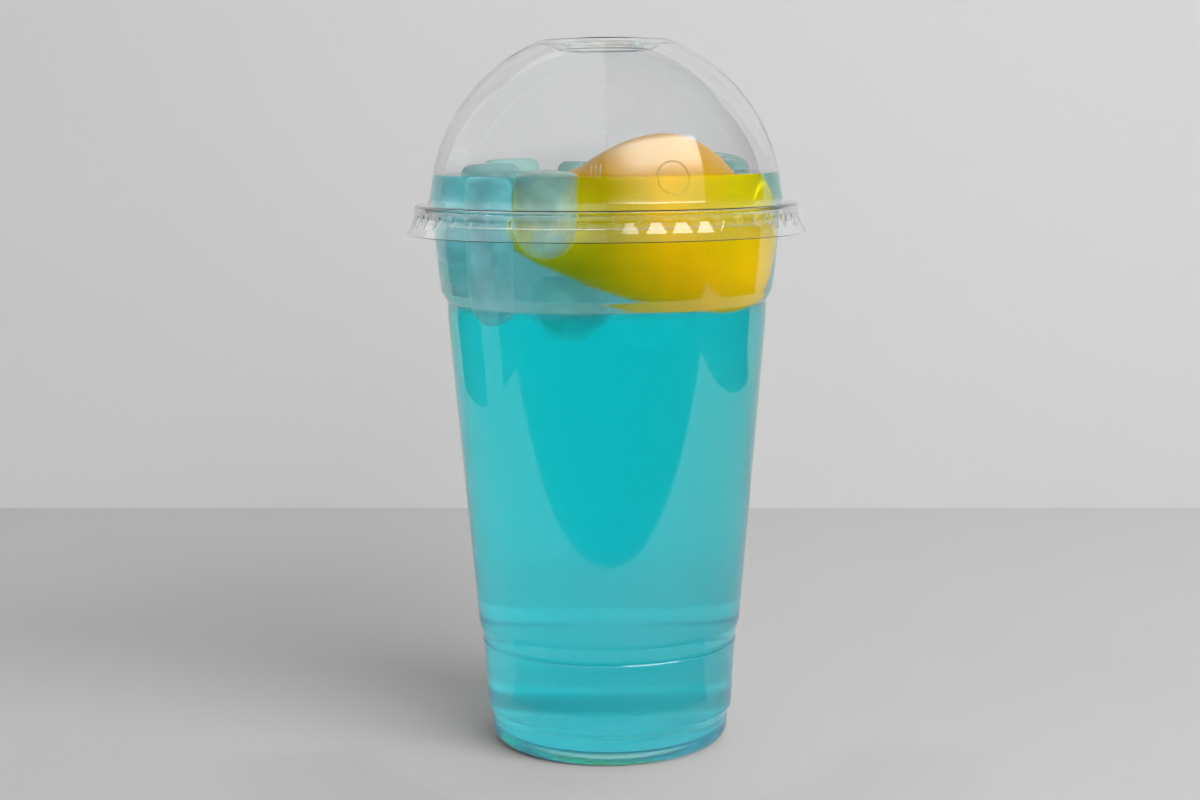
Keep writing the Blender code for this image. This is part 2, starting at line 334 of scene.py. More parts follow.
class Socket:
    """An output in a tree; arithmetic on it adds Math nodes."""

    def __init__(self, shader, socket):
        self.shader = shader
        self.socket = socket

    def math(self, operation, first, second=0.0):
        return self.shader.out("ShaderNodeMath", 0, {"operation": operation}, i0=first, i1=second)

    def __add__(self, other):
        return self.math("ADD", self, other)

    def __sub__(self, other):
        return self.math("SUBTRACT", self, other)

    def __mul__(self, other):
        return self.math("MULTIPLY", self, other)

    def __truediv__(self, other):
        return self.math("DIVIDE", self, other)

    def __rsub__(self, other):
        return self.math("SUBTRACT", other, self)

    def __rtruediv__(self, other):
        return self.math("DIVIDE", other, self)

    __radd__ = __add__
    __rmul__ = __mul__

    def between(self, low, high):
        """0 at low, 1 at high, smooth between."""
        return self.shader.out(
            "ShaderNodeMapRange", 0, {"interpolation_type": "SMOOTHSTEP"}, i0=self, i1=low, i2=high,
        )


def axes(shader, vector):
    """The x, y and z of a vector."""
    node = shader.add("ShaderNodeSeparateXYZ", i0=vector)
    return [Socket(shader, socket) for socket in node.outputs]


def own_place(shader):
    """The place in the cup of the spot that is shaded."""
    return shader.out("ShaderNodeTexCoord", "Object")


def clouds(shader, place, scale, detail):
    """Soft noise from 0 to 1."""
    return shader.out("ShaderNodeTexNoise", Vector=place, Scale=scale, Detail=detail)


def relief(shader, strength, depth, height):
    """A surface direction that follows a fine relief, which is depth metres deep."""
    return shader.out("ShaderNodeBump", Strength=strength, Distance=depth, Height=height)


def ramp(shader, along, *stops):
    """A colour that follows a value, from (position, colour) stops."""
    return shader.out("ShaderNodeValToRGB", 0, {"stops": stops}, i0=along)


def mix(shader, share_of_second, first, second):
    """A mix of two colours."""
    return shader.out(
        "ShaderNodeMix", "Result", {"data_type": "RGBA"}, i0=share_of_second, i6=first, i7=second,
    )


def blend(shader, share_of_second, first, second):
    """A mix of two shaders."""
    return shader.out("ShaderNodeMixShader", i0=share_of_second, i1=first, i2=second)


def principled(shader, **sockets):
    """A Principled shader in the tree."""
    return shader.out("ShaderNodeBsdfPrincipled", **sockets)


def straight(shader, tint=(1.0, 1.0, 1.0)):
    """A surface that lets light go straight on, changed by a tint."""
    return shader.out("ShaderNodeBsdfTransparent", Color=(*tint, 1.0))


def finish_material(shader, **links):
    """Link the surface, and the volume if there is one, to the output and return the material."""
    shader.add("ShaderNodeOutputMaterial", **links)
    return shader.owner


def see_past(shader, surface, tint, bounce_tint, solid=None, open_side=None):
    """Let lamps and bounced light go straight through a clear surface, each changed by a tint.

    With solid, only what lies inside is lit so, and from outside the surface blocks lamps and looks
    like solid; open_side is 1 where light may leave.
    """
    for_lamps, for_bounces = straight(shader, tint), straight(shader, bounce_tint)
    if solid:
        for_bounces = blend(shader, open_side, solid, for_bounces)
        for_lamps = blend(shader, open_side, surface, for_lamps)
    bounce = shader.out("ShaderNodeLightPath", "Is Diffuse Ray")
    lamp = shader.out("ShaderNodeLightPath", "Is Shadow Ray")
    return blend(shader, lamp, blend(shader, bounce, surface, for_bounces), for_lamps)


def clear_plastic(name, tint, shine):
    """Thin clear plastic with fine flow marks from its forming.

    Tint is the share of a lamp's light that it lets through, and shine scales what it mirrors.
    """
    shader = Nodes(name)
    place = own_place(shader)
    flow = shader.out("ShaderNodeMapping", Vector=place, Scale=(1.0, 1.0, 0.35))
    smear = clouds(shader, place, 35.0, 3.0)
    surface = principled(
        shader, Base_Color=WHITE, Roughness=smear.between(0.55, 0.8) * 0.04, IOR=1.57,
        Transmission_Weight=1.0, Specular_Tint=(shine, shine, shine, 1.0),
        Normal=relief(shader, 0.05, 0.0006, clouds(shader, flow, 90.0, 2.0)),
    )
    return finish_material(shader, Surface=see_past(shader, surface, (tint,) * 3, (0.96,) * 3))


def shade_material(name, tint, density):
    """A stretch of the drink that takes more out of what is seen through it, though not of the
    light that falls on what floats in it; its boundary doesn't bend light.
    """
    shader = Nodes(name)
    volume = shader.out("ShaderNodeVolumeAbsorption", Color=(*tint, 1.0), Density=density)
    for kind in ("Is Diffuse Ray", "Is Shadow Ray"):
        falling = shader.out("ShaderNodeLightPath", kind)
        volume = shader.out("ShaderNodeMixShader", i0=falling, i1=volume)
    return finish_material(shader, Surface=straight(shader), Volume=volume)


def drink_material(look):
    """The drink: clear liquid that takes the red out of light, with a faint painted glow near its foot."""
    shader = Nodes("blue_drink")
    height = axes(shader, own_place(shader))[2]
    # Painted light: a faint blue glow low in the drink stands in for the lamps' light that the drink
    # focuses onto the table behind it.
    glow = height.between(0.0015, 0.004) * (1.0 - height.between(0.02, 0.09))
    surface = principled(
        shader, Base_Color=WHITE, Roughness=0.16 - height.between(0.1484, 0.1488) * 0.14,
        IOR=1.333, Transmission_Weight=1.0, Specular_Tint=(0.1, 0.1, 0.1, 1.0),
        Emission_Strength=0.022, Emission_Color=mix(shader, glow, BLACK, (0.0, 0.3, 1.0, 1.0)),
    )
    hollow = shader.out("ShaderNodeAttribute", "Fac", {"attribute_name": "hollow"})
    clear = shader.out("ShaderNodeBsdfRefraction", Color=WHITE, Roughness=0.0, IOR=1.0)
    surface = blend(shader, hollow, surface, clear)
    # Painted shade: bounced light from outside meets a grey stand-in here, so the table's shade beside the
    # cup stays grey instead of cyan.
    solid = shader.out("ShaderNodeBsdfDiffuse", Color=(0.35, 0.35, 0.35, 1.0))
    behind = shader.out("ShaderNodeNewGeometry", "Backfacing")
    open_side = behind.math("MAXIMUM", behind, hollow)
    lamp = (look.lamp_light,) * 3
    bounce = [look.inner_light * part for part in (1.03, 1.0, 1.0)]
    return finish_material(
        shader, Surface=see_past(shader, surface, lamp, bounce, solid, open_side),
        Volume=shader.out(
            "ShaderNodeVolumeAbsorption", Color=(*look.tint, 1.0), Density=look.strength,
        ),
    )


def peel_material(look):
    """Waxy peel, pitted with oil glands: olive at the tip and yellow in its middle, with painted shade on
    its blunt end and its top above the drink, painted light low in the drink as a brighter orange, and
    glossy only where it is dry.
    """
    shader = Nodes("lemon_peel")
    place = own_place(shader)
    across, _, height = axes(shader, place)
    patch = clouds(shader, place, 55.0, 3.0)
    # The last stop is painted shade at the blunt end, under the key lamp's stronger light.
    tint = ramp(
        shader, ((across + (patch - 0.5) * 0.008) + 0.02) / 0.052,
        (0.0, (0.21, 0.205, 0.001)), (0.385, (0.52, 0.285, 0.001)),
        (0.65, tuple(look.peel)), (0.94, tuple(look.shaded_blunt_end)),
    )
    # Painted light: low in the drink the peel is painted a brighter orange, in place of the light that
    # would reach it from below.
    low = (
        (1.0 - height.between(0.118, 0.138)) * across.between(-0.008, 0.008)
        * (1.0 - across.between(0.018, 0.032) * 0.6) * 0.8
    )
    tint = mix(shader, low, tint, (1.0, 0.38, 0.001, 1.0))
    # Painted shade: the peel above the drink is darker where the key lamp and its sheen fall.
    tint = mix(shader, height.between(0.1475, DRY_ABOVE), tint, (0.78, 0.41, 0.006, 1.0))
    pits = shader.out("ShaderNodeTexVoronoi", Vector=place, Scale=700.0)
    skin = pits.between(0.0, 0.45) * 0.7 + clouds(shader, place, 420.0, 2.0) * 0.3
    return finish_material(shader, Surface=principled(
        shader, Base_Color=tint, Roughness=0.5 + patch * 0.12, IOR=1.04,
        Normal=relief(shader, 0.25, 0.0004, skin),
        Coat_Weight=height.between(WET_BELOW, DRY_ABOVE), Coat_Roughness=0.3, Coat_IOR=1.52,
    ))


def ice_material(look):
    """Ice: clear at its rim and clouded with fine air in the drink, and glossy above it. Its milky colour
    is painted light: the drink's cyan, dark in the drink with painted shade deeper down, and paler above
    the drink.
    """
    shader = Nodes("ice")
    place = own_place(shader)
    height = axes(shader, place)[2]
    cloud = clouds(shader, place, 120.0, 4.0)
    # Painted light: these cyan tones stand in for the drink's coloured light on the milky ice, dimmer in
    # the drink than above it.
    wet_tone = ramp(shader, cloud, (0.3, (0.075, 0.19, 0.205)), (0.7, (0.11, 0.255, 0.275)))
    dry_tone = ramp(shader, cloud, (0.3, (0.36, 0.52, 0.50)), (0.7, (0.50, 0.66, 0.64)))
    # Painted shade: the milk darkens further deep in the drink.
    deep = (1.0 - height.between(0.112, 0.119)) * 0.9
    wet_tone = mix(shader, deep, wet_tone, (0.0, 0.12, 0.13, 1.0))
    rim = shader.out("ShaderNodeLayerWeight", "Facing", Blend=0.5)
    clear = principled(shader, Base_Color=WHITE, Roughness=0.3, IOR=1.02, Transmission_Weight=1.0)
    milk = principled(shader, Base_Color=wet_tone, Roughness=0.6, IOR=1.1)
    milky = (1.0 - rim * rim) * cloud.between(0.1, 0.7) * (height.between(0.112, 0.142) * 0.35 + 0.65)
    wet = blend(shader, milky * look.cloud, clear, milk)
    top = principled(
        shader, Base_Color=dry_tone, Roughness=0.08, IOR=1.31, Transmission_Weight=0.5,
        Normal=relief(shader, 0.2, 0.0008, cloud),
    )
    surface = blend(shader, height.between(WET_BELOW, DRY_ABOVE), wet, top)
    tint = (0.9, 0.92, 0.92)
    return finish_material(shader, Surface=see_past(shader, surface, tint, tint))


# Turned shapes

def arc(centre, radius, start, end, count):
    """List (r, z) points along an arc, by angles in degrees from +r towards +z."""
    points = []
    for index in range(count):
        angle = math.radians(start + (end - start) * index / (count - 1))
        points.append((centre[0] + radius * math.cos(angle), centre[1] + radius * math.sin(angle)))
    return points


def softened(points, steps=6):
    """Round the corners of an open line; each inner point is r, z and a rounding in millimetres."""
    line = [Vector(point[:2]) for point in points]
    result = [line[0]]
    for before, corner, after, (*_, size) in zip(line, line[1:], line[2:], points[1:]):
        back, ahead = before - corner, after - corner
        half = back.angle(ahead) / 2
        reach = min(size * MM / max(math.tan(half), 1e-6), 0.45 * back.length, 0.45 * ahead.length)
        if reach < 1e-6 or half > math.radians(89.5):
            result.append(corner)
            continue
        start, end = corner + back.normalized() * reach, corner + ahead.normalized() * reach
        for step in range(steps + 1):
            t = step / steps
            result.append(start * (1 - t) ** 2 + corner * 2 * t * (1 - t) + end * t ** 2)
    result.append(line[-1])
    return [tuple(point) for point in result]


def divided(points, longest):
    """Split long stretches of an (r, z) line."""
    result = [points[0]]
    for start, end in zip(points, points[1:]):
        count = max(1, math.ceil(math.dist(start, end) / longest))
        for step in range(1, count + 1):
            t = step / count
            result.append((start[0] + (end[0] - start[0]) * t, start[1] + (end[1] - start[1]) * t))
    return result


def offset_line(points, distance):
    """Move a profile that runs down its outer side by a distance towards the axis."""
    normals = []
    for (r0, z0), (r1, z1) in zip(points, points[1:]):
        along = Vector((r1 - r0, z1 - z0)).normalized()
        normals.append(Vector((-along.y, along.x)))
    moved = []
    for index, point in enumerate(points):
        before = normals[max(index - 1, 0)]
        after = normals[min(index, len(normals) - 1)]
        middle = (before + after).normalized()
        shift = -distance / max(middle.dot(after), 0.5)
        on_axis = point[0] < 0.01 * MM
        moved.append((0.0 if on_axis else point[0] + middle.x * shift, point[1] + middle.y * shift))
    return moved


def turned(name, profile, segments, thickness=0.0, extra=None):
    """Turn a profile about the Z axis, thicken it inwards if asked, and return a plain object."""
    line = bpy.data.meshes.new(name)
    line.from_pydata([(r, 0.0, z) for r, z in profile], [(i, i + 1) for i in range(len(profile) - 1)], [])
    item = bpy.data.objects.new(name, line)
    bpy.context.scene.collection.objects.link(item)
    screw = item.modifiers.new("Turn", "SCREW")
    screw.steps = screw.render_steps = segments
    screw.use_merge_vertices = True
    screw.merge_threshold = 0.005 * MM
    if extra:
        extra(item)
    if thickness:
        shell = item.modifiers.new("Wall", "SOLIDIFY")
        shell.thickness = thickness
        shell.offset = -1.0
        shell.use_even_offset = True
    return baked(item)


def baked(item):
    """Make an object's evaluated shape its plain mesh."""
    graph = bpy.context.evaluated_depsgraph_get()
    mesh = bpy.data.meshes.new_from_object(item.evaluated_get(graph))
    mesh.name = item.name
    item.modifiers.clear()
    item.data = mesh
    mesh.shade_smooth()
    mesh.set_sharp_from_angle(angle=SHARP)
    return item


def dress(item, material, node=None):
    """Give a finished piece its material and tie it to the cup."""
    item.data.materials.clear()
    item.data.materials.append(material)
    item.data.transform(item.matrix_world)
    item.matrix_world = Matrix.Identity(4)
    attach(item, BODY)
    if node:
        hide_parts(node)
    return item


def cup_line(s):
    """The outer side of the cup's sheet, from the curl's tip to the centre of the base."""
    curl = (s.rim_radius - s.neck_radius + s.wall) / 2
    rim = arc((s.rim_radius - curl, s.height - curl), curl - s.wall, -50, 180, CURL_POINTS)
    wall = [
        rim[-1],
        (s.step_radius, s.step_top, 3.0),
        (s.step_bulge_radius, s.step_bulge, 1.8),
        (s.step_foot_radius, s.step_foot, 1.2),
        (s.body_top_radius, s.body_top, 8.0),
        (s.body_foot_radius, s.ledge_top, 6.0),
        (s.ledge_foot_radius, s.ledge_foot + BEAD_SHELF, 1.5),
        (s.ledge_foot_radius + 0.4 * s.ledge_bead, s.ledge_foot + BEAD_NECK, 0.2),
        (s.ledge_foot_radius + s.ledge_bead, s.ledge_foot + BEAD_EDGE, 0.2),
        (s.ledge_foot_radius, s.ledge_foot + BEAD_FOOT, 1.0),
        (s.band_radius, s.band_foot, 1.5),
        (s.foot_radius, s.foot_top, 1.5),
        (s.foot_radius, s.foot_corner),
    ]
    corner = arc((s.foot_radius - s.foot_corner, s.foot_corner), s.foot_corner, 0, -90, 9)
    base = [
        corner[-1],
        (s.ring_radius, 0.0, 0.3),
        (s.panel_radius, s.panel_rise, 0.7),
        (0.0, s.panel_rise + s.panel_crown),
    ]
    return rim[:-1] + softened(wall)[:-1] + corner[:-1] + softened(base)


def under_curl(cup, distance):
    """The cup's line under its curl, moved in by a distance."""
    return offset_line(cup_line(cup)[CURL_POINTS - 1:], distance)


def dome_line(s):
    """The outer side of the dome, from the moat's rim to its foot."""
    start = math.degrees(math.acos(s.moat_rim_radius * 1.14 / s.dome_radius))
    dome = arc((0.0, s.dome_centre), s.dome_radius, start, 5.5, DOME_POINTS)
    return dome + [(s.dome_foot_radius, s.dome_foot)]


def lid_line(s):
    """The outer side of the lid's sheet, from the middle of the button to the skirt's edge."""
    crown = [
        (0.0, s.height),
        (s.button_radius, s.height - 0.2 * MM, 0.35),
        (s.button_foot_radius, s.moat, 0.4),
        (s.moat_radius, s.moat, 0.6),
        (s.moat_rim_radius, s.moat_rim, 2.5),
        dome_line(s)[0],
    ]
    brim = [
        dome_line(s)[-2],
        (s.dome_foot_radius, s.dome_foot, 2.0),
        (s.flange_start, s.flange_top, 0.8),
        (s.flange_radius, s.flange_top, 0.3),
        (s.edge_radius, s.flange_top - s.wall, 0.4),
        (s.edge_radius, s.skirt_top, 0.6),
        (s.waist_radius, s.waist, 0.8),
        (s.skirt_radius, s.skirt_foot),
    ]
    return softened(crown, 4)[:-1] + dome_line(s)[:-2] + softened(brim, 4)


# Operators

class DrinkOperator:
    """What the operators of this file share."""
    bl_options = {"REGISTER", "UNDO"}

    def execute(self, context):
        self.build(context.scene)
        return {"FINISHED"}


class DRINK_OT_cup(DrinkOperator, bpy.types.Operator):
    """Turn the clear cup from its curled rim to its raised base"""
    bl_idname = "drink.cup"
    bl_label = "Clear Cup"

    def build(self, scene):
        sizes = scene.cup_sizes
        cup = turned("cup_shell", divided(cup_line(sizes), 3 * MM), ROUND, sizes.wall)
        dress(cup, clear_plastic("cup_plastic", 0.92, 0.8), "cup")


def lug_tree(material):
    """Geometry nodes that press V-shaped dents between the lugs of a skirt."""
    tree = bpy.data.node_groups.new("skirt_lugs", "GeometryNodeTree")
    for way in ("OUTPUT", "INPUT"):
        tree.interface.new_socket("Geometry", in_out=way, socket_type="NodeSocketGeometry")
    for name in ("Count", "Depth", "Top", "Bottom"):
        tree.interface.new_socket(name, in_out="INPUT", socket_type="NodeSocketFloat")
    nodes = Nodes(tree=tree)
    entry = nodes.add("NodeGroupInput")
    shape, count, depth, top, bottom = [Socket(nodes, socket) for socket in entry.outputs[:5]]
    x, y, z = axes(nodes, nodes.out("GeometryNodeInputPosition"))
    turn = y.math("ARCTAN2", y, x) / math.tau
    away = turn.math("FRACT", turn * count) - 0.5
    height = (z - bottom) / (top - bottom)
    dent = 1.0 - away.math("ABSOLUTE", away) / (height * DENT_SPREAD + DENT_FOOT)
    fade_in = height.math("MINIMUM", height.math("MAXIMUM", height, 0.0), 1.0)
    fade_out = DENT_FADE_START - height * DENT_FADE
    fade_out = fade_out.math("MINIMUM", fade_out.math("MAXIMUM", fade_out, 0.0), 1.0)
    push = dent.math("MAXIMUM", dent, 0.0) * (fade_in * fade_out) * depth * -1.0
    outward = nodes.out(
        "ShaderNodeVectorMath", 0, {"operation": "NORMALIZE"},
        i0=nodes.out("ShaderNodeCombineXYZ", X=x, Y=y),
    )
    shift = nodes.out("ShaderNodeVectorMath", 0, {"operation": "SCALE"}, i0=outward, Scale=push)
    pressed = nodes.out("GeometryNodeSetPosition", Geometry=shape, Offset=shift)
    real = nodes.out("GeometryNodeRealizeInstances", Geometry=pressed)
    painted = nodes.out("GeometryNodeSetMaterial", Geometry=real, Material=material)
    nodes.add("NodeGroupOutput", Geometry=painted)
    return tree


def add_nodes(item, tree, values):
    """Put a geometry node tree on an object with its named inputs set."""
    modifier = item.modifiers.new(tree.name, "NODES")
    modifier.node_group = tree
    for socket in tree.interface.items_tree:
        if socket.in_out == "INPUT" and socket.name in values:
            modifier[socket.identifier] = values[socket.name]


def mark_ridges(sizes):
    """Thin raised lines on the dome's front: a ring, and three short bars beside it."""
    angles = [math.tau * step / RING_POINTS for step in range(RING_POINTS)]
    ring = [
        (RING_CENTRE[0] + RING_REACH[0] * math.cos(angle), RING_CENTRE[1] + RING_REACH[1] * math.sin(angle))
        for angle in angles
    ]
    bars = [[(turn, rise) for rise in BAR_RISES] for turn in BAR_TURNS]
    radius = sizes.dome_radius + RIDGE_RADIUS * 0.7
    lines = bpy.data.curves.new("ridge_lines", "CURVE")
    lines.dimensions = "3D"
    lines.bevel_depth = RIDGE_RADIUS
    lines.bevel_resolution = 2
    lines.use_fill_caps = True
    for path in (ring, *bars):
        spline = lines.splines.new("POLY")
        spline.points.add(len(path) - 1)
        spline.use_cyclic_u = path is ring
        for point, (turn, rise) in zip(spline.points, path):
            turn, rise = math.radians(turn), math.radians(rise)
            flat = math.cos(rise)
            out = Vector((math.sin(turn) * flat, -math.cos(turn) * flat, math.sin(rise)))
            point.co = (*(out * radius + Vector((0.0, 0.0, sizes.dome_centre))), 1.0)
    holder = bpy.data.objects.new("ridge_lines", lines)
    bpy.context.scene.collection.objects.link(holder)
    mesh = bpy.data.meshes.new_from_object(holder.evaluated_get(bpy.context.evaluated_depsgraph_get()))
    bpy.data.objects.remove(holder)
    ridges = bpy.data.objects.new("lid_ridges", mesh)
    bpy.context.scene.collection.objects.link(ridges)
    mesh.shade_smooth()
    return ridges


class DRINK_OT_lid(DrinkOperator, bpy.types.Operator):
    """Turn the domed lid and press the lugs of its skirt"""
    bl_idname = "drink.lid"
    bl_label = "Domed Lid"

    def build(self, scene):
        sizes = scene.lid_sizes
        material = clear_plastic("lid_plastic", 0.83, 0.85)
        values = {
            "Count": float(LUG_COUNT), "Depth": sizes.lug_depth,
            "Top": sizes.skirt_top, "Bottom": sizes.waist,
        }
        line = divided(lid_line(sizes), 2.5 * MM)
        skirt = next(index for index, point in enumerate(line) if point[0] > sizes.flange_radius)
        line = line[:skirt] + divided(line[skirt:], 0.55 * MM)
        lid = turned(
            "lid_shell", line, LUG_COUNT * COLUMNS_PER_LUG, sizes.wall,
            lambda item: add_nodes(item, lug_tree(material), values),
        )
        lid.data.transform(Matrix.Rotation(LUG_TURN, 4, "Z"))
        dress(lid, material, "lid")
        dress(mark_ridges(sizes), material)


def lemon_line(look, rings, grow=0.0):
    """Half outline of the lemon along its long axis, from the blunt end to the tip."""
    points = []
    for index in range(rings + 1):
        along = look.reach * (1 - math.cos(math.pi * index / rings)) / 2
        if along < look.waist:
            radius = look.radius * (1 - (1 - along / look.waist) ** FRONT_POWER) ** 0.5
            if along < look.knob:
                knob = look.knob * math.sqrt(max(1 - (1 - along / look.knob) ** 2, 0.0))
            else:
                knob = look.knob * max(1 - (along / (KNOB_REACH * look.knob)) ** 2, 0.0)
            radius = max(radius, knob)
        else:
            part = (along - look.waist) / (look.reach - look.waist)
            radius = look.radius * math.sqrt(max(1 - part ** BACK_POWER, 0.0))
        points.append((radius, along))
    points.reverse()
    return offset_line(points, -grow) if grow else points


def lemon_place():
    """Matrix that lays the lemon's own +Z along its long axis in the cup."""
    across = Vector((
        math.cos(LEMON_YAW) * math.cos(LEMON_PITCH),
        math.sin(LEMON_YAW) * math.cos(LEMON_PITCH),
        -math.sin(LEMON_PITCH),
    ))
    return Matrix.Translation(LEMON_TIP) @ across.to_track_quat("Z", "Y").to_matrix().to_4x4()


def lemon_body(look, name, rings, segments, grow=0.0):
    """The lemon's closed mesh, a little uneven, where it floats."""
    lemon = turned(name, lemon_line(look, rings, grow), segments)
    for vertex in lemon.data.vertices:
        out = Vector((vertex.co.x, vertex.co.y, 0.0))
        swell = sum(noise.noise(vertex.co * lumps) * depth * MM for lumps, depth in PEEL_LUMPS)
        if out.length > 1e-6:
            vertex.co += out.normalized() * swell
        hump = max(1 - ((vertex.co.z - CROWN_PLACE) / CROWN_REACH) ** 2, CROWN_LEAST)
        vertex.co.y += look.crown * hump * max(vertex.co.y / look.radius, 0.0)
        span = look.arch_place if vertex.co.z < look.arch_place else look.reach - look.arch_place
        vertex.co.y += look.arch * (1 - min(abs(vertex.co.z - look.arch_place) / span, 1.0) ** 2)
    lemon.data.transform(lemon_place())
    return lemon


class DRINK_OT_lemon(DrinkOperator, bpy.types.Operator):
    """Shape the lemon that floats against the front of the cup"""
    bl_idname = "drink.lemon"
    bl_label = "Lemon"

    def build(self, scene):
        lemon = lemon_body(scene.lemon_look, "lemon_fruit", 90, 128)
        dress(lemon, peel_material(scene.lemon_look), "lemon")


def ice_body(name, numbers, rounding, rings, segments, grow=0.0):
    """One ice piece: a softly rounded top, a straight side and a round end."""
    x, y, z, reach, radius, lean_x, lean_y = numbers
    reach, radius = reach * MM, radius * MM
    top = arc((radius - rounding, reach - rounding), rounding, 90, 0, rings)
    bottom = arc((0.0, radius), radius, 0, -90, rings * 2)
    line = divided([(0.0, reach + 0.1 * rounding)] + top + bottom, 1.5 * MM)
    piece = turned(name, offset_line(line, -grow) if grow else line, segments)
    seed = Vector((x, y, z))
    lumps, depth = ICE_LUMPS
    for vertex in piece.data.vertices:
        vertex.co += vertex.co.normalized() * noise.noise(vertex.co * lumps + seed) * depth * MM
    up = Vector((math.tan(math.radians(lean_x)), math.tan(math.radians(lean_y)), 1.0))
    piece.data.transform(Matrix.Translation(seed * MM) @ up.to_track_quat("Z", "Y").to_matrix().to_4x4())
    return piece


class DRINK_OT_ice(DrinkOperator, bpy.types.Operator):
    """Shape the ice at the surface and the pieces sunk under it"""
    bl_idname = "drink.ice"
    bl_label = "Ice"

    def build(self, scene):
        look = scene.ice_look
        material = ice_material(look)
        for name, numbers in {**ICE_PIECES, **SUNK_ICE}.items():
            piece = ice_body(name + "_piece", numbers, look.rounding, 8, 48)
            dress(piece, material, name if name in ICE_PIECES else None)


def between_heights(line, low, high):
    """The stretch of a side line, from top to bottom, between two heights, closed to the axis."""
    part = [point for point in line if low < point[1] < high]
    ends = []
    for height in (high, low):
        pairs = (pair for pair in zip(line, line[1:]) if pair[0][1] >= height > pair[1][1])
        pair = next(pairs, None)
        if pair:
            (r0, z0), (r1, z1) = pair
            ends.append((r0 + (r1 - r0) * (z0 - height) / (z0 - z1), height))
    if len(ends) == 2:
        return [(0.0, high), ends[0]] + part + [ends[1], (0.0, low)]
    return [(0.0, high), ends[0]] + [point for point in line if point[1] < high]


def drink_line(cup, lid, look):
    """The drink's outline: its surface and meniscus, then just inside the dome's and the cup's sheets."""
    dome_side = offset_line(dome_line(lid), lid.wall - look.bite)
    edge = min(dome_side, key=lambda point: abs(point[1] - look.level - look.meniscus))
    under = [point for point in dome_side if point[1] < look.level]
    rise = [
        (edge[0] - 3.0 * MM, look.level),
        (edge[0] - 1.2 * MM, look.level + 0.12 * look.meniscus, 0.8),
        (edge[0] - 0.4 * MM, look.level + 0.45 * look.meniscus, 0.8),
        (edge[0], look.level + look.meniscus),
    ]
    cup_side = under_curl(cup, cup.wall - look.bite)
    surface = [(0.0, look.level), (edge[0] * 0.5, look.level)] + softened(rise, 3)
    joint = softened([under[-1], (*cup_side[0], 1.0), cup_side[1]], 3)
    return surface + under[:-1] + joint[:-1] + cup_side[1:]


def mark_hollows(body, skin):
    """Keep which faces a cutter left as a value of 0 or 1 on each face."""
    slots = [index for index, material in enumerate(body.data.materials) if material == skin]
    values = [float(face.material_index in slots) for face in body.data.polygons]
    body.data.attributes.new("hollow", "FLOAT", "FACE").data.foreach_set("value", values)
    body.data.polygons.foreach_set("material_index", [0] * len(values))


class DRINK_OT_drink(DrinkOperator, bpy.types.Operator):
    """Fill the cup with the drink, cut round the ice and the lemon"""
    bl_idname = "drink.drink"
    bl_label = "Drink"

    def build(self, scene):
        look, cup, lid = scene.drink_look, scene.cup_sizes, scene.lid_sizes
        drink = turned("drink_body", divided(drink_line(cup, lid, look), 3 * MM), ROUND)
        side = under_curl(cup, cup.wall + look.inset)
        dome_side = offset_line(dome_line(lid), lid.wall + look.inset)
        gap = 0.05 * MM
        deep_line = between_heights(side, -1.0, look.depth)
        top_side = [(dome_side[0][0], look.level)]
        top_side += [point for point in dome_side if point[1] < look.level] + side
        top_line = between_heights(top_side, look.depth + gap, look.level - gap)
        deep = turned("drink_deep", divided(deep_line, 4 * MM), ROUND // 2)
        top = turned("drink_top", divided(top_line, 4 * MM), ROUND // 2)
        inset = -0.05 * MM
        cutters = [lemon_body(scene.lemon_look, "lemon_cutter", 40, 64, inset)]
        for name, numbers in {**ICE_PIECES, **SUNK_ICE}.items():
            cutters.append(ice_body(name + "_cutter", numbers, scene.ice_look.rounding, 6, 40, inset))
        skins = [bpy.data.materials.new(name) for name in ("skin", "hollow_skin")]
        for item in (drink, deep, top, *cutters):
            item.data.materials.append(skins[item in cutters])
        for body in (drink, deep, top):
            for cutter in cutters:
                cut = body.modifiers.new(cutter.name, "BOOLEAN")
                cut.operation = "DIFFERENCE"
                cut.material_mode = "TRANSFER"
                cut.object = cutter
            mark_hollows(baked(body), skins[1])
        for cutter in cutters:
            bpy.data.objects.remove(cutter)
        dress(drink, drink_material(look), "drink")
        shade = shade_material("deep_drink", look.deep_tint, look.deep_strength)
        dress(deep, shade)
        shade = shade_material("top_drink", look.top_tint, look.top_strength)
        dress(top, shade)


# Stage

def reflected(shader):
    """1 on a path that a reflection has turned and no matt surface has, else 0."""
    glossy = shader.out("ShaderNodeLightPath", "Glossy Depth").between(0.4, 0.6)
    return glossy * (1.0 - shader.out("ShaderNodeLightPath", "Diffuse Depth").between(0.4, 0.6))


def plain_paint(name, tint, hidden="", right_shade=0.0):
    """Matt paint with a faint unevenness, and painted shade darker to the right by right_shade.

    It is clear from its back or in reflections where hidden says so.
    """
    shader = Nodes(name)
    place = own_place(shader)
    low, high = tuple(0.97 * part for part in tint), tuple(tint)
    tone = ramp(shader, clouds(shader, place, 3.0, 3.0), (0.35, low), (0.65, high))
    # Painted shade: darker to the right, where the key lamp lights the wall more.
    shade = axes(shader, place)[0].between(-0.5, 0.6) * right_shade
    surface = principled(shader, Base_Color=mix(shader, shade, tone, BLACK), Roughness=0.8)
    if "back" in hidden:
        back = shader.out("ShaderNodeNewGeometry", "Backfacing")
        surface = blend(shader, back, surface, straight(shader))
    if "reflections" in hidden:
        surface = blend(shader, reflected(shader), surface, straight(shader))
    return finish_material(shader, Surface=surface)


def panel(name, corners, material):
    """A flat four-cornered piece of the stage."""
    mesh = bpy.data.meshes.new(name)
    mesh.from_pydata(corners, [], [tuple(range(len(corners)))])
    mesh.materials.append(material)
    item = bpy.data.objects.new(name, mesh)
    bpy.context.scene.collection.objects.link(item)
    return item


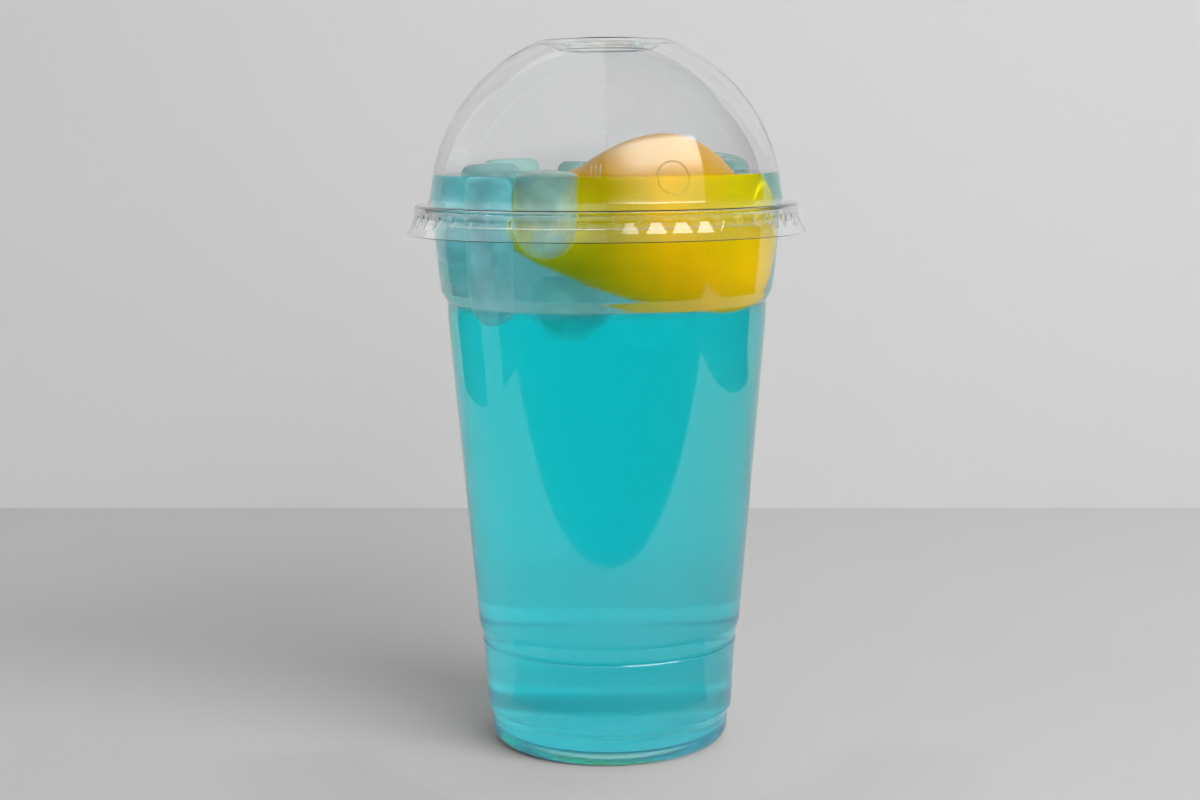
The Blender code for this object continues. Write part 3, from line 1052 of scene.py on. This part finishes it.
def on_wall(look, x, z=0.0):
    """A point of the wall, which stands a little nearer at its right."""
    return (x, look.wall_back - look.wall_turn * x, z)


def key_profile(across, up):
    """The softbox's brightness: most right of its middle and in its upper half."""
    rise = across.between(0.0, 0.4) * 0.92 + 0.08
    fall = (1.0 - across.between(0.8, 1.1) * 0.6) * (1.0 - across.between(0.91, 0.94))
    return rise * fall * (up.between(0.3, 0.62) * 0.86 + 0.14) * (1.0 - up.between(0.86, 0.96))


def softbox(name, place, size, brightness):
    """A soft rectangular lamp aimed at the cup, which the camera doesn't see."""
    light = bpy.data.lights.new(name, "AREA")
    light.shape = "RECTANGLE"
    light.size, light.size_y = size
    light.energy = brightness * math.pi * size[0] * size[1]
    light.use_nodes = True
    shader = Nodes(tree=light.node_tree)
    across, up, _ = axes(shader, shader.out("ShaderNodeNewGeometry", "Parametric"))
    glow = shader.out("ShaderNodeEmission", Strength=key_profile(across, up))
    shader.add("ShaderNodeOutputLight", Surface=glow)
    item = bpy.data.objects.new(name, light)
    item.location = place
    item.rotation_euler = (Vector(CUP_MIDDLE) - Vector(place)).to_track_quat("-Z", "Y").to_euler()
    item.visible_camera = item.visible_transmission = False
    bpy.context.scene.collection.objects.link(item)
    return item


class DRINK_OT_stage(DrinkOperator, bpy.types.Operator):
    """Set the table, the wall, the lamps and the camera"""
    bl_idname = "drink.stage"
    bl_label = "Stage"

    def build(self, scene):
        look = scene.stage_look
        self.set_table(look)
        self.set_wall(look)
        self.set_mirrored(look)
        softbox("key_softbox", look.key_place, look.key_size, look.key_light)
        shine = softbox("key_shine", look.key_place, look.key_size, look.key_shine)
        shine.visible_diffuse = False
        self.set_world(scene, look)
        self.set_camera(scene)

    def set_table(self, look):
        """The table, and the floor around it that reflections don't show."""
        left, right, front = -look.table_left, look.table_right, -look.table_front
        paint = plain_paint("table_paint", look.table_paint)
        back = [on_wall(look, right), on_wall(look, left)]
        panel("table", [(left, front, 0), (right, front, 0), *back], paint)
        paint = plain_paint("floor_paint", look.table_paint, "reflections")
        panel("floor_front", [(-FAR, -FAR, 0), (FAR, -FAR, 0), (FAR, front, 0), (-FAR, front, 0)], paint)
        panel("floor_back", [on_wall(look, -FAR), on_wall(look, FAR), (FAR, FAR, 0), (-FAR, FAR, 0)], paint)
        for name, x0, x1 in (("floor_left", -FAR, left), ("floor_right", right, FAR)):
            panel(name, [(x0, front, 0), (x1, front, 0), on_wall(look, x1), on_wall(look, x0)], paint)

    def set_wall(self, look):
        """The wall, and the backdrop around it that reflections don't show."""
        left, right, top = -look.wall_left, look.wall_right, look.wall_height
        paint = plain_paint("wall_paint", look.wall_paint, "back", look.wall_shade)
        backdrop = plain_paint("backdrop_paint", look.wall_paint, "back reflections", look.wall_shade)
        for name, x0, x1, z0, z1 in (
            ("wall", left, right, 0, top), ("wall_left", -FAR, left, 0, top),
            ("wall_right", right, FAR, 0, top), ("wall_top", -FAR, FAR, top, FAR),
        ):
            corners = [on_wall(look, x, z) for x, z in ((x0, z0), (x1, z0), (x1, z1), (x0, z1))]
            panel(name, corners, paint if name == "wall" else backdrop)

    def set_mirrored(self, look):
        """The card and the rings that reflections alone show."""
        shapes = [("light_card", CARD, look.card_light)]
        for name, (inner, outer, brightness) in RINGS.items():
            ring = arc((0.0, 0.0), outer, RING_START, RING_END, RING_ARC_POINTS)
            ring += arc((0.0, 0.0), inner, RING_END, RING_START, RING_ARC_POINTS)
            shapes.append((name, [(x, y, RING_HEIGHT) for x, y in ring], brightness))
        for name, corners, brightness in shapes:
            shader = Nodes(name)
            glow = shader.out("ShaderNodeEmission", Strength=brightness)
            item = panel(name, corners, finish_material(shader, Surface=glow))
            item.visible_camera = item.visible_diffuse = False
            item.visible_transmission = item.visible_shadow = False

    def set_world(self, scene, look):
        """Even light in the room, and a bright left and ceiling in what mirrors it."""
        shader = Nodes("room", True)
        mirrored = reflected(shader)
        right, back, up = axes(shader, shader.out("ShaderNodeTexCoord", "Generated"))
        left = 1.0 - right.between(-0.01, 0.01)
        overhead = left * (up + back * 0.35).between(0.25, 0.45) * look.left_light
        overhead = overhead + (1.0 - left) * up.between(0.2, 0.9) * look.ceiling_light
        strength = (1.0 - mirrored) * look.room_light + mirrored * overhead
        glow = shader.out("ShaderNodeBackground", Color=WHITE, Strength=strength)
        shader.add("ShaderNodeOutputWorld", Surface=glow)
        scene.world = shader.owner

    def set_camera(self, scene):
        """The photo's camera, and how often light may turn in the clear sheets."""
        camera = bpy.data.cameras.new("camera")
        camera.lens = LENS
        camera.sensor_width = SENSOR_WIDTH
        item = bpy.data.objects.new("camera", camera)
        item.location = CAMERA_PLACE
        item.rotation_euler = CAMERA_TURN
        scene.collection.objects.link(item)
        scene.camera = item
        scene.view_settings.view_transform = "Standard"
        scene.cycles.max_bounces = scene.cycles.transmission_bounces = LIGHT_BOUNCES
        scene.cycles.transparent_max_bounces = LIGHT_BOUNCES


class DRINK_PT_panel(bpy.types.Panel):
    """Lists the pieces of the drink and their sizes"""
    bl_label = "Blue Lemonade Cup"
    bl_space_type = "VIEW_3D"
    bl_region_type = "UI"
    bl_category = "Drink"

    def draw(self, context):
        for operator in OPERATORS:
            self.layout.operator(operator.bl_idname)
        for name, group in GROUPS.items():
            box = self.layout.box()
            box.label(text=group.__doc__)
            for key in group.__annotations__:
                box.prop(getattr(context.scene, name), key)


OPERATORS = (DRINK_OT_cup, DRINK_OT_lid, DRINK_OT_lemon, DRINK_OT_ice, DRINK_OT_drink, DRINK_OT_stage)


def register():
    for group in GROUPS.values():
        bpy.utils.register_class(group)
    for name, group in GROUPS.items():
        setattr(bpy.types.Scene, name, bpy.props.PointerProperty(type=group))
    for item in (*OPERATORS, DRINK_PT_panel):
        bpy.utils.register_class(item)


def unregister():
    for item in (DRINK_PT_panel, *reversed(OPERATORS)):
        bpy.utils.unregister_class(item)
    for name in GROUPS:
        delattr(bpy.types.Scene, name)
    for group in reversed(GROUPS.values()):
        bpy.utils.unregister_class(group)


def main():
    """Build every piece in order."""
    register()
    bpy.ops.drink.cup()
    bpy.ops.drink.lid()
    bpy.ops.drink.lemon()
    bpy.ops.drink.ice()
    bpy.ops.drink.drink()
    bpy.ops.drink.stage()


if __name__ == "__main__":
    main()
